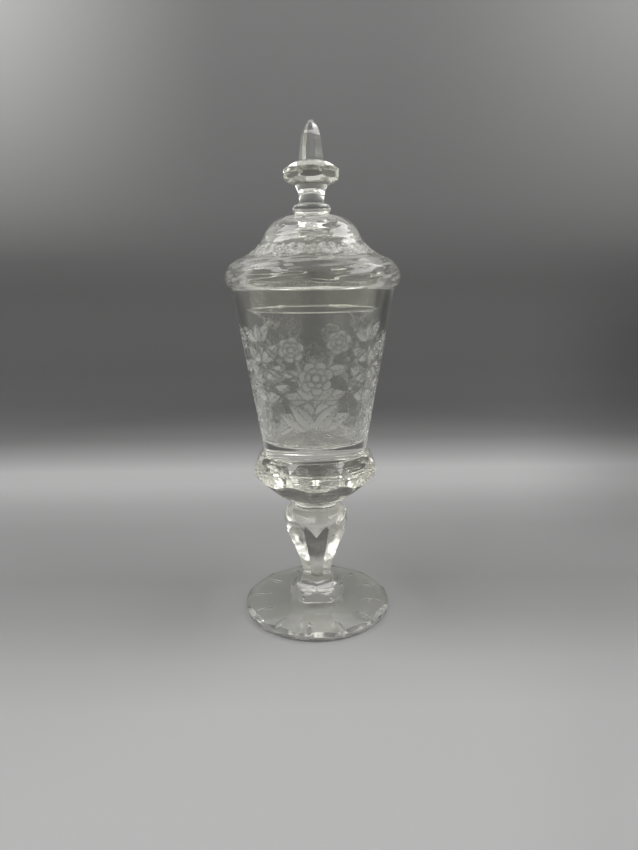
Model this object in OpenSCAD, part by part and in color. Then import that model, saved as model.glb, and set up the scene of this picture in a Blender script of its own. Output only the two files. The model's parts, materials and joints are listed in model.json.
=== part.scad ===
// Covered glass goblet: a cut foot, a six-sided baluster stem, a cut knop,
// an engraved tapering bowl and a loose domed cover with a cut finial.
// Every piece is a gather of glass with its own shape. The front of the object faces -Y.

/* [Foot] */
// Radius of the foot where it meets the table
foot_r = 47.2; // [38:0.1:58]
// Height of the foot at its rim, before the bevel is cut
foot_rim_h = 4.3; // [3:0.1:7]
// Height of the foot at the middle, where the stem stands on it
foot_h = 8; // [6.5:0.1:12]
// Radius of the raised seat in the middle of the foot
foot_seat_r = 19.5; // [18.5:0.1:26]
// Number of flat cuts round the rim
foot_bevel_count = 12; // [8:1:18]
// Height on the rim at which the flat cuts begin
foot_bevel_start = 3.2; // [2.4:0.1:3.6]
// Depth of the flat cuts where they begin
foot_bevel_bite = 0.15; // [0.1:0.05:0.6]
// Lean of the flat cuts away from upright
foot_bevel_lean = 64; // [55:1:70]
// Radius of the ground hollow under the foot
foot_hollow_r = 15; // [8:0.5:20]
// Depth of the ground hollow under the foot
foot_hollow_depth = 1.2; // [0.5:0.1:2.5]
// Number of olive cuts under the foot
olive_count = 12; // [6:1:16]
// Distance of the olive cuts from the axis
olive_ring_r = 36.5; // [28:0.5:40]
// Length of an olive cut
olive_length = 12; // [6:0.5:14]
// Width of an olive cut
olive_width = 4.2; // [3:0.1:6]
// Depth of an olive cut
olive_depth = 0.6; // [0.4:0.1:1.2]
// Turn of the olive cuts from the front
olive_turn = -8; // [-15:1:15]

/* [Stem] */
// Number of long panels round the stem
panel_count = 6; // [5:1:8]
// Height of the stem base, from the foot to the waist
stem_base_h = 13.5; // [11:0.1:16]
// Largest radius of the stem base
stem_base_r = 18; // [16:0.1:18.4]
// Distance of the flat sides of the stem base from the axis
stem_base_flat = 15.8; // [14.6:0.1:17]
// Height of the upright side of the stem base
stem_base_side_h = 2.5; // [1.5:0.1:4]
// Rounding of the stem base's shoulder
stem_base_round = 5.5; // [4:0.1:7]
// Radius of the joint between the stem base and the baluster, before the panels are cut
joint_r = 11.5; // [11:0.1:13]
// Height of the baluster
baluster_h = 49.5; // [44:0.5:58]
// Largest radius of the baluster
baluster_r = 20.7; // [19.8:0.1:23]
// Rounding of the baluster's shoulder
baluster_round = 7.5; // [5.5:0.1:9]
// Distance of the panels from the axis at the waist
waist_r = 8.4; // [7.4:0.1:9.6]
// Height of the waist above the bottom of the baluster
waist_rise = 2.9; // [1:0.1:4]
// Radius of the grinding wheel's sweep below the waist
flute_r = 9.6; // [9:0.1:10.5]
// Height above the waist at which the long panels begin
panel_start_rise = 1.9; // [1:0.1:3]
// Height of the panels' bend above the bottom of the baluster
panel_bend_h = 30.5; // [27:0.5:34]
// Distance of the panels from the axis at their bend
panel_bend_r = 16.7; // [15.8:0.1:18]
// Radius of the hollow sweep along the long panels
panel_sweep = 140; // [80:5:300]
// Height at which the panels begin to run out, above the bottom of the baluster
panel_ledge_h = 39; // [36:0.5:40]
// Distance of the panels from the axis where they begin to run out
panel_ledge_r = 19.5; // [18.8:0.1:19.7]
// Height of the panels' arched tops above the bottom of the baluster
panel_top_h = 42.5; // [41:0.5:44]
// Height of the neck between the baluster and the knop
neck_h = 5.5; // [4:0.1:8]
// Radius of the neck under the knop
neck_top_r = 18; // [16:0.1:20]
// Radius of the neck's hollow sweep
neck_sweep = 7.7; // [6:0.1:12]

/* [Knop] */
// Height of the knop under the bowl
knop_h = 31.3; // [27:0.1:36]
// Number of flat cuts in each row round the knop
knop_cut_count = 8; // [6:1:12]
// Largest radius of the knop before it is cut
knop_r = 39.9; // [39:0.1:41]
// Distance of the belt's flat cuts from the axis
knop_flat = 37.6; // [36.8:0.1:38.4]
// Radius of the knop's top edge before it is cut
knop_top_r = 34.4; // [33.6:0.1:36]
// Depth of the upper flat cuts at the top edge
knop_top_cut = 1.2; // [0.4:0.1:1.6]
// Height of the knop's conical bevel below its top edge
knop_bevel_h = 6.3; // [4:0.1:8]
// Distance of the belt's upper edge below the top of the knop
knop_belt_drop = 8.2; // [6.5:0.1:10]
// Height at which the knop's rounded underside reaches its full radius
knop_under_h = 18; // [15:0.1:20]
// Bulge radius of the knop's rounded underside
knop_under_round = 60; // [40:1:90]
// Height at which the lower flat cuts end under the knop
knop_lower_cut_h = 3.2; // [2:0.1:6]
// Lean of the lower flat cuts away from upright
knop_lower_lean = 48; // [44:1:52]
// Distance of the lower flat cuts from the axis where they end
knop_lower_flat = 22.8; // [22:0.1:23.6]

/* [Bowl] */
// Height of the bowl from the knop to its rim
bowl_h = 100.2; // [80:0.5:130]
// Outer radius at the foot of the bowl
bowl_bottom_r = 32; // [29:0.1:33]
// Outer radius at the rim of the bowl
bowl_rim_r = 48.3; // [46.5:0.1:50]
// Wall of the bowl at its rim
bowl_wall = 4; // [3.2:0.1:4.6]
// Wall of the bowl at its floor
bowl_low_wall = 5; // [4:0.1:7]
// Thickness of the bowl's floor
bowl_floor = 7.5; // [4:0.1:12]
// Rounding inside the bowl at its floor
bowl_floor_round = 3.5; // [2:0.5:9]
// Rounding of the polished edges of the rim
rim_round = 0.8; // [0.4:0.1:1.2]

/* [Cover] */
// Overhang of the cover past the bowl's rim
cover_overhang = 3.6; // [1.5:0.1:6]
// Rounding of the cover's lip
lip_round = 4.5; // [3:0.1:6]
// Radius of the cover's rounded shoulder
shoulder_round = 13; // [10:0.1:16]
// Radius of the hollow sweep above the shoulder
sweep_round = 28; // [24:0.5:34]
// Radius of the dome's rounding
dome_round = 19; // [16:0.1:22]
// Height of the dome's top above the bowl's rim
dome_h = 41; // [36:0.5:46]
// Radius of the flat seat on top of the dome
dome_seat_r = 10.6; // [10.2:0.1:14]
// Wall of the cover's shoulder and sweep
cover_wall = 3; // [2:0.1:4]
// Thickness of the glass in the middle of the dome, under the finial
crown_wall = 8; // [5:0.1:9]
// Rounding inside the cover, above its inner rim
hollow_round = 7; // [4:0.5:10]
// Length of the inner rim that drops into the bowl
inner_rim_h = 13; // [8:0.5:18]
// Wall of the inner rim
inner_rim_wall = 2.6; // [2:0.1:3.5]
// Gap between the inner rim and the bowl at the bowl's mouth
inner_rim_gap = 2.3; // [0.6:0.1:3]
// Narrowing of the inner rim's radius from its top to its bottom edge
inner_rim_taper = 2; // [0.5:0.1:3]

/* [Finial] */
// Height of the finial's collar
collar_h = 6; // [4:0.1:7]
// Largest radius of the finial's collar
collar_r = 11.1; // [10.2:0.1:12.5]
// Height of the finial's neck
finial_neck_h = 10; // [8:0.1:14]
// Narrowest radius of the finial's neck
finial_neck_r = 7.2; // [6:0.1:7.8]
// Radius at the top of the finial's neck
finial_neck_top_r = 9.6; // [8.4:0.1:11]
// Height of the narrowest place above the bottom of the neck
finial_neck_waist_h = 2.2; // [1.5:0.1:5]
// Height of the finial's knop
finial_knop_h = 12.8; // [11:0.1:18]
// Largest radius of the finial's knop before it is cut
finial_knop_r = 18; // [17:0.1:19.5]
// Height of the finial knop's widest place above its bottom
finial_knop_wide_h = 5.6; // [4.5:0.1:7.5]
// How round the finial's knop is from its widest place to its ends: 1 is a straight slope
finial_knop_curve = 1.7; // [1.3:0.1:2]
// Number of oval flat cuts round the finial's knop
finial_cut_count = 8; // [6:1:12]
// Distance of the oval cuts from the axis
finial_flat = 15.6; // [14.5:0.1:16.4]
// Turn of the oval cuts from the front
finial_cut_turn = -2; // [-20:1:20]
// Radius of the seat for the spire
spire_seat_r = 8.6; // [8:0.1:10]
// Height of the spire
spire_h = 21.6; // [15:0.1:28]
// Distance of the spire's sides from the axis at its bottom
spire_flat = 6.5; // [5.6:0.1:7.2]
// Distance of the spire's sides from the axis where its tip begins
spire_tip_flat = 5; // [4:0.1:5.5]
// Height at which the spire's tip begins
spire_tip_h = 12.6; // [9:0.1:14]
// Distance of the sides from the axis at the very tip
spire_point = 1; // [0.5:0.1:1.5]
// Rounding of the spire's tip
spire_tip_round = 16; // [12:0.5:26]
// Number of sides of the spire
spire_sides = 6; // [5:1:8]
// Turn of the spire's sides from the front
spire_turn = -16; // [-30:1:30]

/* [Hidden] */
$fn = 96;

// Direction that faces the front
front = -90;
// Number of straight steps in an arc of an outline
arc_steps = 12;
// Reach of a cutter past the piece that it cuts
past = 60;
// Small overlap between two areas that are joined
lap = 0.05;
// Radius of a rounded edge over half its width: a little less than a half circle
nearly_half = 1.02;

clear_glass = "lightgray";
cut_glass = "gainsboro";
engraved_glass = "whitesmoke";

// Heights at which the pieces meet
stem_base_z = foot_h;
baluster_z = stem_base_z + stem_base_h;
neck_z = baluster_z + baluster_h;
knop_z = neck_z + neck_h;
bowl_z = knop_z + knop_h;
rim_z = bowl_z + bowl_h;
collar_z = rim_z + dome_h;
finial_neck_z = collar_z + collar_h;
finial_knop_z = finial_neck_z + finial_neck_h;
spire_z = finial_knop_z + finial_knop_h;

// The neck continues the baluster's shoulder
neck_r = baluster_r - baluster_round;

// Points of an arc from p to q with radius r: it bulges to the right of the way for r > 0
function arc(p, q, r) =
    let (
        way = q - p,
        span = norm(way),
        side = [way.y, -way.x] / span,
        depth = sqrt(max(r * r - span * span / 4, 0)),
        centre = (p + q) / 2 - sign(r) * side * depth,
        a = atan2(p.y - centre.y, p.x - centre.x),
        b = atan2(q.y - centre.y, q.x - centre.x),
        step = ((b - a + 540) % 360 - 180) / arc_steps
    )
    [for (i = [0:arc_steps]) centre + abs(r) * [cos(a + step * i), sin(a + step * i)]];

// Points of an arc that eases a corner and touches both its sides, a length away from it
function eased(before, corner, after, length) =
    let (
        back = (before - corner) / norm(before - corner),
        on = (after - corner) / norm(after - corner),
        r = length * tan(acos(back * on) / 2)
    )
    arc(corner + back * length, corner + on * length, -sign(cross(back, on)) * r);

// Centre of a circle outside circles (a, ra) and (b, rb) that touches both, on the left of a to b
function touching_centre(a, ra, b, rb, r) =
    let (
        way = b - a,
        span = norm(way),
        near = ra + r,
        far = rb + r,
        along = (near * near - far * far + span * span) / (2 * span),
        out = sqrt(max(near * near - along * along, 0))
    )
    a + way / span * along + [-way.y, way.x] / span * out;

// Radius of a round whose cap has half a chord and a depth
function cap_radius(half, depth) = (half * half + depth * depth) / (2 * depth);

// A point at a distance from a, towards b
function toward(a, b, distance) = a + (b - a) / norm(b - a) * distance;

// Solid of revolution of an outline, lifted to height z
module turned(points, z = 0) {
    translate([0, 0, z]) rotate_extrude() polygon(points);
}

// Takes the children, an area drawn as distance from the axis and height, off all round
module cut_round(count, turn = 0) {
    for (i = [0:count - 1])
        rotate(front + turn + i * 360 / count)
            rotate([90, 0, 0])
                linear_extrude(height = 2 * past, center = true) children();
}

// Area outside a straight line through a point, leaning in by an angle as it rises
module outside_line(point, lean) {
    translate(point) rotate(lean) translate([0, -past]) square([past, 2 * past]);
}

module foot() {
    outline = [
        [0, 0], [foot_r, 0], [foot_r, foot_rim_h], [foot_seat_r, foot_h], [0, foot_h]
    ];
    ball_r = cap_radius(foot_hollow_r, foot_hollow_depth);
    wheel_r = cap_radius(olive_length / 2, olive_depth);
    groove_r = cap_radius(olive_width / 2, olive_depth);
    color(cut_glass) difference() {
        turned(outline);
        cut_round(foot_bevel_count)
            outside_line([foot_r - foot_bevel_bite, foot_bevel_start], foot_bevel_lean);
        translate([0, 0, foot_hollow_depth - ball_r]) sphere(ball_r);
        for (i = [0:olive_count - 1])
            rotate(front + olive_turn + i * 360 / olive_count)
                translate([olive_ring_r, 0, olive_depth - wheel_r])
                    rotate([90, 0, 0]) rotate_extrude()
                        translate([wheel_r - groove_r, 0]) circle(groove_r);
    }
}

// Area that a grinding wheel takes off along one stem panel
module panel_area() {
    wheel = [waist_r + flute_r, baluster_z + waist_rise];
    start_x = wheel.x - sqrt(flute_r * flute_r - panel_start_rise * panel_start_rise) + lap;
    start = [start_x, wheel.y + panel_start_rise];
    bend = [panel_bend_r, baluster_z + panel_bend_h];
    ledge = [panel_ledge_r, baluster_z + panel_ledge_h];
    arch_top = [baluster_r, baluster_z + panel_top_h];
    run_out = arch_top + (arch_top - ledge);
    translate(wheel) circle(flute_r);
    polygon(concat(arc(start, bend, -panel_sweep), [ledge, run_out, [past, run_out.y], [past, start.y]]));
}

// Turn of the stem panels: an edge between two panels faces the front
panel_turn = 180 / panel_count;

module stem_base() {
    side_top = [stem_base_r, stem_base_side_h];
    round_end = side_top + stem_base_round * [cos(45) - 1, sin(45)];
    blank_top = [joint_r, round_end.y + round_end.x - joint_r];
    outline = concat(
        [[0, 0], [stem_base_r, 0]],
        arc(side_top, round_end, stem_base_round),
        [blank_top, [joint_r, stem_base_h], [0, stem_base_h]]
    );
    color(cut_glass) difference() {
        turned(outline, stem_base_z);
        cut_round(panel_count) outside_line([stem_base_flat, 0], 0);
        cut_round(panel_count, panel_turn) panel_area();
    }
}

module stem_baluster() {
    shoulder = [baluster_r, baluster_h - baluster_round];
    shoulder_end = [baluster_r - baluster_round, baluster_h];
    outline = concat(
        [[0, 0], [joint_r, 0], [baluster_r, panel_bend_h]],
        arc(shoulder, shoulder_end, baluster_round),
        [[0, baluster_h]]
    );
    color(cut_glass) difference() {
        turned(outline, baluster_z);
        cut_round(panel_count, panel_turn) panel_area();
    }
}

module stem_neck() {
    outline = concat(
        [[0, 0]],
        arc([neck_r, 0], [neck_top_r, neck_h], -neck_sweep),
        [[0, neck_h]]
    );
    color(clear_glass) turned(outline, neck_z);
}

module bowl_knop() {
    belt_top = knop_h - knop_belt_drop;
    upper = [knop_top_r - knop_top_cut, knop_h];
    upper_lean = atan2(knop_flat - upper.x, knop_belt_drop);
    outline = concat(
        [[0, 0]],
        arc([neck_top_r, 0], [knop_r, knop_under_h], knop_under_round),
        [[knop_r, knop_h - knop_bevel_h], [knop_top_r, knop_h], [0, knop_h]]
    );
    color(cut_glass) translate([0, 0, knop_z]) difference() {
        turned(outline);
        cut_round(knop_cut_count) {
            outside_line(upper, upper_lean);
            outside_line([knop_flat, belt_top], 0);
        }
        cut_round(knop_cut_count, 180 / knop_cut_count)
            outside_line([knop_lower_flat, knop_lower_cut_h], -knop_lower_lean);
    }
}

module bowl() {
    outer_low = [bowl_bottom_r, 0];
    outer_rim = [bowl_rim_r, bowl_h];
    inner_rim = [bowl_rim_r - bowl_wall, bowl_h];
    inner_low = [bowl_bottom_r - bowl_low_wall, bowl_floor];
    floor_middle = [0, bowl_floor];
    outline = concat(
        [[0, 0], outer_low],
        eased(outer_low, outer_rim, inner_rim, rim_round),
        eased(outer_rim, inner_rim, inner_low, rim_round),
        eased(inner_rim, inner_low, floor_middle, bowl_floor_round),
        [floor_middle]
    );
    color(engraved_glass) turned(outline, bowl_z);
}

// Largest radius of the cover
cover_r = bowl_rim_r + cover_overhang;

// The inner rim's radius follows the bowl's mouth
inner_rim_r = bowl_rim_r - bowl_wall - inner_rim_gap;

module cover_dome() {
    // Centres of the three arcs that make the outside of the cover
    dome_centre = [dome_seat_r, dome_h - dome_round];
    lip_centre = [cover_r - shoulder_round, lip_round];
    sweep_centre = touching_centre(dome_centre, dome_round, lip_centre, shoulder_round, sweep_round);
    dome_end = toward(dome_centre, sweep_centre, dome_round);
    shoulder_top = toward(lip_centre, sweep_centre, shoulder_round);
    // The hollow keeps one wall behind the sweep, and its round ceiling leaves a thick crown
    hollow_r = inner_rim_r - inner_rim_wall;
    hollow_sweep = sweep_round + cover_wall;
    ceiling = [dome_seat_r, dome_h - crown_wall];
    aside = sweep_centre - ceiling;
    hollow_dome = (aside * aside - hollow_sweep * hollow_sweep) / (2 * (hollow_sweep - aside.y));
    hollow_dome_end = toward(ceiling - [0, hollow_dome], sweep_centre, hollow_dome);
    corner_x = hollow_r - hollow_round;
    corner_far = hollow_sweep + hollow_round;
    corner_side = sweep_centre.x - corner_x;
    corner = [corner_x, sweep_centre.y - sqrt(corner_far * corner_far - corner_side * corner_side)];
    corner_top = toward(sweep_centre, corner, hollow_sweep);
    outline = concat(
        [[0, dome_h]],
        arc([dome_seat_r, dome_h], dome_end, -dome_round),
        arc(dome_end, shoulder_top, sweep_round),
        arc(shoulder_top, [cover_r, lip_round], -shoulder_round),
        arc([cover_r, lip_round], [cover_r - lip_round, 0], -lip_round),
        [[hollow_r, 0]],
        arc([hollow_r, corner.y], corner_top, hollow_round),
        arc(corner_top, hollow_dome_end, -hollow_sweep),
        arc(hollow_dome_end, ceiling, hollow_dome),
        [[0, ceiling.y]]
    );
    color(clear_glass) turned(outline, rim_z);
}

module cover_inner_rim() {
    low_r = inner_rim_r - inner_rim_taper;
    half = inner_rim_wall / 2;
    low_h = half - inner_rim_h;
    outline = concat(
        [[inner_rim_r, 0], [inner_rim_r - inner_rim_wall, 0]],
        arc([low_r - inner_rim_wall, low_h], [low_r, low_h], half * nearly_half)
    );
    color(clear_glass) turned(outline, rim_z);
}

module finial_collar() {
    half = collar_h / 2;
    bulge = half * (nearly_half - sqrt(nearly_half * nearly_half - 1));
    end_r = collar_r - bulge;
    outline = concat(
        [[0, 0]],
        arc([end_r, 0], [end_r, collar_h], half * nearly_half),
        [[0, collar_h]]
    );
    color(clear_glass) turned(outline, collar_z);
}

// Radius of the finial's neck at a height, as a shallow bowl shape about its narrowest place
function finial_neck_at(h) =
    finial_neck_r + (finial_neck_top_r - finial_neck_r)
        * pow((h - finial_neck_waist_h) / (finial_neck_h - finial_neck_waist_h), 2);

module finial_neck() {
    outline = concat(
        [[0, 0]],
        [for (i = [0:arc_steps]) let (h = finial_neck_h * i / arc_steps) [finial_neck_at(h), h]],
        [[0, finial_neck_h]]
    );
    color(clear_glass) turned(outline, finial_neck_z);
}

// Radius of the finial's knop at a height: it bulges from each end to its widest place
function finial_knop_at(h) =
    let (
        above = h > finial_knop_wide_h,
        end_r = above ? spire_seat_r : finial_neck_top_r,
        reach = above ? finial_knop_h - finial_knop_wide_h : finial_knop_wide_h
    )
    end_r + (finial_knop_r - end_r) * (1 - pow(abs(h - finial_knop_wide_h) / reach, finial_knop_curve));

module finial_knop() {
    steps = 2 * arc_steps;
    outline = concat(
        [[0, 0]],
        [for (i = [0:steps]) let (h = finial_knop_h * i / steps) [finial_knop_at(h), h]],
        [[0, finial_knop_h]]
    );
    color(cut_glass) translate([0, 0, finial_knop_z]) difference() {
        turned(outline);
        cut_round(finial_cut_count, finial_cut_turn) outside_line([finial_flat, 0], 0);
    }
}

module finial_spire() {
    half_side = 180 / spire_sides;
    outline = concat(
        [[0, 0], [spire_flat, 0]],
        arc([spire_tip_flat, spire_tip_h], [spire_point, spire_h], spire_tip_round),
        [[0, spire_h]]
    );
    color(cut_glass) translate([0, 0, spire_z]) rotate(front + spire_turn + half_side)
        rotate_extrude($fn = spire_sides) polygon([for (p = outline) [p.x / cos(half_side), p.y]]);
}

foot();
stem_base();
stem_baluster();
stem_neck();
bowl_knop();
bowl();
cover_dome();
cover_inner_rim();
finial_collar();
finial_neck();
finial_knop();
finial_spire();
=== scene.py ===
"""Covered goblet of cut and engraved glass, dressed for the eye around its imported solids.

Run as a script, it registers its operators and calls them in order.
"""

import json
from math import acos, atan2, cos, pi, radians, sin, sqrt, tan, tau

import bmesh
import bpy
import numpy as np
from bpy.props import FloatProperty, FloatVectorProperty, IntProperty, PointerProperty
from mathutils import Matrix, Vector


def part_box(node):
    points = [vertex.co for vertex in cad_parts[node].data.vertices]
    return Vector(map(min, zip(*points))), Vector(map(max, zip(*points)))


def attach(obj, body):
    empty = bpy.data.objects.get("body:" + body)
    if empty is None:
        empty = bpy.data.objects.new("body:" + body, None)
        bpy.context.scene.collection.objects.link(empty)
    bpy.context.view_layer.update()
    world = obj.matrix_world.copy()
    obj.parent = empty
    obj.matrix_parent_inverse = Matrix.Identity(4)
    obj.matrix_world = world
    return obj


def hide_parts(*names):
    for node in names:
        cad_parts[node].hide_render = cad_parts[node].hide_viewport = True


bl_info = {
    "name": "Covered Glass Goblet",
    "version": (1, 0, 0),
    "blender": (4, 5, 0),
    "location": "3D View > Sidebar > Goblet",
    "description": "Builds a covered goblet of cut and engraved glass around its solids",
    "category": "Object",
}

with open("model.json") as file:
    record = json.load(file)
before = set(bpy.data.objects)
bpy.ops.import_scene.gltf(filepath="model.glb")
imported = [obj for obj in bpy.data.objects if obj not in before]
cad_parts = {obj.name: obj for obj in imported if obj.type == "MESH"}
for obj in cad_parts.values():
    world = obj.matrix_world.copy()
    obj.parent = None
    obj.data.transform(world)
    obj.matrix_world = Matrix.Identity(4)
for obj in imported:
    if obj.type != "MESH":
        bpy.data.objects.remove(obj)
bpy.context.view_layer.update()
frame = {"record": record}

MM = 0.001
# Direction from the axis towards the viewer
FRONT = -pi / 2
# Largest turn between two points of an arc in an outline
ARC_STEP = radians(6)
# Points round a turned piece, two degrees apart, and round one that carries engraving
SEGMENTS = 180
FINE_SEGMENTS = 480
# Reach of a cutter past the ends of the piece that it cuts
CLEAR = 1 * MM
# Distance below which two heights count as one
TOUCH = 0.001 * MM
# Air between the cover and the rim that it rests on, and between the foot and the floor
REST_GAP = 0.03 * MM
# Radius over half the chord, for an arc that is nearly half a circle
NEARLY_HALF = 1.02
# Angle between faces from which an edge shows as crisp, on cut or turned glass and on engraved glass
CUT_EDGE = radians(12)
ENGRAVED_EDGE = radians(50)
# Inputs of a tree of cuts, each with its kind of socket
CUT_INPUTS = {"Blank": "Geometry", "Cutter": "Object", "Count": "Int", "Turn": "Float", "Glass": "Material"}
# Finishes of cut glass: the height of its polishing waves, how many times longer than high they are, their
# depth, the most haze between them, and the share of light that worn facets scatter
CUT_FINISHES = {
    "thin": (4 * MM, 3, 0.14 * MM, 0.05, 0),
    "spire": (8 * MM, 4, 0.9 * MM, 0.05, 0.04),
    "stem": (4 * MM, 3, 0.14 * MM, 0.18, 0.02),
    "finial": (2.2 * MM, 8, 0.32 * MM, 0.05, 0),
    "thick": (2.2 * MM, 8, 0.6 * MM, 0.05, 0),
}
# Share of light that goes straight through a blown wall. The cover's is a little milky, from its streaks
CLEAREST = {"bowl": 1.0, "cover": 0.985}
# Place of the camera, in front of the goblet and level with its cover
CAMERA_PLACE = (0, -0.3768, 0.2169)
# Turn of the camera downwards, to the right and about its line of sight, and its lens in millimetres
CAMERA_PITCH, CAMERA_YAW, CAMERA_ROLL = radians(13.94), 0.007, radians(0.72)
CAMERA_LENS = 26.13
# Places of the soft lights, the point that they face, their size and their power in watts
LIGHT_PLACES = {"Left_Light": (-0.53, -0.15, 0.83), "Right_Light": (0.60, 0.02, 0.78)}
LIGHT_AIM = (0, 0, 0.18)
LIGHT_WIDTH, LIGHT_HEIGHT = 0.85, 0.36
LIGHT_POWER = 4.35
# Light passes through many faces of thick glass before it comes out again
BOUNCES = 32
# Bands of painted light and shade on the backdrop and the floor, by their slope from the camera, from its top
# to its bottom
BAND_TOP, BAND_LOW = -0.4, 1.2
# Painted in them: shade darkening the wall down into the curve, a bright band of light on the floor behind
# the goblet, a darker band across its place, and lighter floor in front
PAINTED_LIGHT_BANDS = ((-0.37, "#808080"), (-0.26, "#7B7B7B"), (-0.1, "#767676"), (0.03, "#686868"), (0.15, "#606060"),
         (0.21, "#626262"), (0.24, "#6A6A6A"), (0.27, "#7A7A7A"), (0.30, "#989898"), (0.325, "#AEAEAE"),
         (0.35, "#AAAAAA"), (0.39, "#979797"), (0.43, "#8D8D8D"), (0.53, "#878787"), (0.60, "#8F8F8F"),
         (0.70, "#9F9F9F"), (0.80, "#A6A6A6"), (1.05, "#A8A8A8"))
# Least distance from the camera at which a slope is taken
BAND_NEAREST = 0.15
# Masks of the backdrop: what each goes by, from where to where, its values there, and how it changes between
BACKDROP_MASKS = {
    "sides begin": ("height", 0.02, 0.12, 0.75, 0.54, "LINEAR"),
    "sides full": ("height", 0.02, 0.12, 1.25, 0.9, "LINEAR"),
    "corner": ("aside", 0.1, 0.55, 0, 1, "SMOOTHSTEP"),
    "left": ("across", 0.2, -0.2, 0.35, 0.9, "LINEAR"),
    "high": ("slope", -0.02, -0.4, 0, 1, "LINEAR"),
    "right": ("across", 0.32, 0.6, 0, 0.36, "SMOOTHSTEP"),
    "under the top": ("slope", -0.05, 0.1, 0, 1, "LINEAR"),
    "over the floor": ("slope", 0.34, 0.5, 1, 0.15, "LINEAR"),
}
# Painted light and shade over the bands, by multiplied masks: pale lit sides, paler upper corners, shaded
# right end
BACKDROP_PAINTED_LIGHT = (("#B8B8B6", ("sides",)), ("#D2D2D0", ("corner", "left", "high")),
                  ("#000000", ("right", "under the top", "over the floor")))


def low(node):
    """Height of the bottom of a CAD node."""
    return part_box(node)[0][2]


def tall(node):
    """Height of a CAD node from its bottom to its top."""
    bottom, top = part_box(node)
    return top[2] - bottom[2]


def linear(hex_colour):
    """Turns an sRGB hex value into linear red, green and blue."""
    values = [int(hex_colour[i:i + 2], 16) / 255 for i in (1, 3, 5)]
    return tuple(v / 12.92 if v <= 0.04045 else ((v + 0.055) / 1.055) ** 2.4 for v in values)


def length(name, default, description):
    """A length that a user may change, in millimetres here and in metres in Blender."""
    return FloatProperty(name=name, description=description, default=default * MM, min=0, unit="LENGTH")


def angle(name, default, description):
    """An angle that a user may change, in degrees here."""
    return FloatProperty(name=name, description=description, default=radians(default), subtype="ANGLE")


def count(name, default, description):
    """A number of like cuts that a user may change."""
    return IntProperty(name=name, description=description, default=default, min=3)


def colour(name, default, description):
    """A colour that a user may change, given as an sRGB hex value."""
    return FloatVectorProperty(name=name, description=description, default=linear(default), subtype="COLOR",
                               min=0, max=1)


class FootSizes(bpy.types.PropertyGroup):
    """Sizes of the flat cut foot."""
    radius: length("Radius", 47.2, "Radius where the foot meets the table")
    rim_height: length("Rim height", 4.3, "Height at the rim before it is cut")
    edge_round: length("Edge round", 0.5, "Rounding of the lower edge")
    seat_radius: length("Seat radius", 19.5, "Radius of the flat seat under the stem")
    bevel_count: count("Flats", 12, "Number of flat cuts round the rim")
    bevel_start: length("Flats start", 3.2, "Height at which the flat cuts begin")
    bevel_bite: length("Flats bite", 0.15, "Depth of the flat cuts where they begin")
    bevel_lean: angle("Flats lean", 64, "Lean of the flat cuts away from upright")
    hollow_radius: length("Hollow radius", 15, "Radius of the ground hollow underneath")
    hollow_depth: length("Hollow depth", 1.2, "Depth of the ground hollow underneath")
    olive_count: count("Olives", 12, "Number of olive cuts underneath")
    olive_ring: length("Olive ring", 36.5, "Distance of the olive cuts from the axis")
    olive_length: length("Olive length", 12, "Length of an olive cut")
    olive_width: length("Olive width", 4.2, "Width of an olive cut")
    olive_depth: length("Olive depth", 0.6, "Depth of an olive cut")
    olive_turn: angle("Olive turn", -8, "Turn of the olive cuts from the front")


class StemSizes(bpy.types.PropertyGroup):
    """Sizes of the stem's base, baluster and neck."""
    panel_count: count("Panels", 6, "Number of long panels round the stem")
    base_radius: length("Base radius", 18, "Largest radius of the stem base")
    base_flat: length("Base flats", 15.8, "Distance of the base's flat sides from the axis")
    base_side: length("Base side", 2.5, "Height of the base's upright side")
    base_round: length("Base round", 5.5, "Rounding of the base's shoulder")
    joint_radius: length("Joint radius", 11.5, "Radius of the joint below the baluster, before it is cut")
    baluster_radius: length("Baluster radius", 20.7, "Largest radius of the baluster")
    baluster_round: length("Baluster round", 7.5, "Rounding of the baluster's shoulder")
    waist: length("Waist", 8.4, "Distance of the panels from the axis at the waist")
    waist_rise: length("Waist rise", 2.9, "Height of the waist above the baluster's bottom")
    flute_radius: length("Flute radius", 9.6, "Radius of the wheel's sweep below the waist")
    panel_rise: length("Panel rise", 1.9, "Height above the waist at which the long panels begin")
    bend_height: length("Bend height", 30.5, "Height of the panels' bend in the baluster")
    bend: length("Bend", 16.7, "Distance of the panels from the axis at their bend")
    panel_sweep: length("Panel sweep", 140, "Radius of the hollow sweep along the long panels")
    ledge_height: length("Ledge height", 39, "Height at which the panels begin to run out")
    ledge: length("Ledge", 19.5, "Distance of the panels from the axis where they begin to run out")
    arch_height: length("Arch height", 42.5, "Height of the panels' arched tops")
    neck_top: length("Neck top", 18, "Radius of the neck under the knop")
    neck_sweep: length("Neck sweep", 7.7, "Radius of the neck's hollow sweep")


class KnopSizes(bpy.types.PropertyGroup):
    """Sizes of the cut knop under the bowl."""
    cut_count: count("Flats", 8, "Number of flat cuts in each row")
    radius: length("Radius", 39.9, "Largest radius before it is cut")
    belt: length("Belt flats", 37.6, "Distance of the belt's flats from the axis")
    top_radius: length("Top radius", 34.4, "Radius of the top edge before it is cut")
    top_cut: length("Top cut", 1.2, "Depth of the upper flats at the top edge")
    bevel_height: length("Bevel height", 6.3, "Height of the conical bevel below the top edge")
    belt_drop: length("Belt drop", 8.2, "Distance of the belt's upper edge below the top")
    under_height: length("Underside height", 18, "Height at which the underside reaches its full radius")
    under_round: length("Underside round", 60, "Bulge radius of the underside")
    lower_height: length("Lower flats height", 3.2, "Height at which the lower flats end")
    lower_lean: angle("Lower flats lean", 48, "Lean of the lower flats away from upright")
    lower_flat: length("Lower flats", 22.8, "Distance of the lower flats from the axis where they end")


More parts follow.
